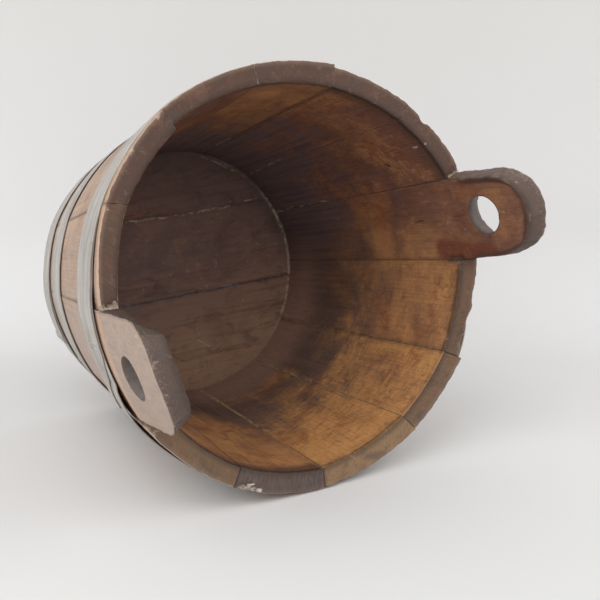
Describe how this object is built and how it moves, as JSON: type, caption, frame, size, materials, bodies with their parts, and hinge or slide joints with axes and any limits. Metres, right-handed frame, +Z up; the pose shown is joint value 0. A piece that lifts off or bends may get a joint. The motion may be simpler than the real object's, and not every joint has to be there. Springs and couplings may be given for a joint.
{
  "type": "butter churn tub",
  "caption": "Coopered wooden churn tub: tapered staves, two bored ear staves, a boarded base head and flat riveted iron hoops.",
  "frame": {"origin": "centre of the tub's base, on its axis, at the feet of the staves", "axes": "+Z up the tub's axis towards the open rim, +X towards the narrower ear, the wider ear on -X"},
  "size_m": [0.3058, 0.3002, 0.339],
  "materials": {
    "stave_wood": "worn bare wood, stained dark inside",
    "head_wood": "dark stained bare wood",
    "dowel_wood": "bare wood",
    "hoop_iron": "dull galvanised iron, streaked",
    "rivet_iron": "dull galvanised iron"
  },
  "bodies": {
    "root": {"ear_stave_right": "stave_wood", "stave_rear_1": "stave_wood", "stave_rear_2": "stave_wood", "stave_rear_3": "stave_wood", "stave_rear_4": "stave_wood", "stave_rear_5": "stave_wood", "stave_rear_6": "stave_wood", "ear_stave_left": "stave_wood", "stave_front_1": "stave_wood", "stave_front_2": "stave_wood", "stave_front_3": "stave_wood", "stave_front_4": "stave_wood", "stave_front_5": "stave_wood", "head_board_front": "head_wood", "head_board_middle": "head_wood", "head_board_rear": "head_wood", "head_dowels": "dowel_wood", "hoop_top": "hoop_iron", "hoop_middle": "hoop_iron", "hoop_bottom": "hoop_iron", "hoop_top_rivets": "rivet_iron", "hoop_middle_rivets": "rivet_iron", "hoop_bottom_rivets": "rivet_iron"}
  },
  "joints": []
}
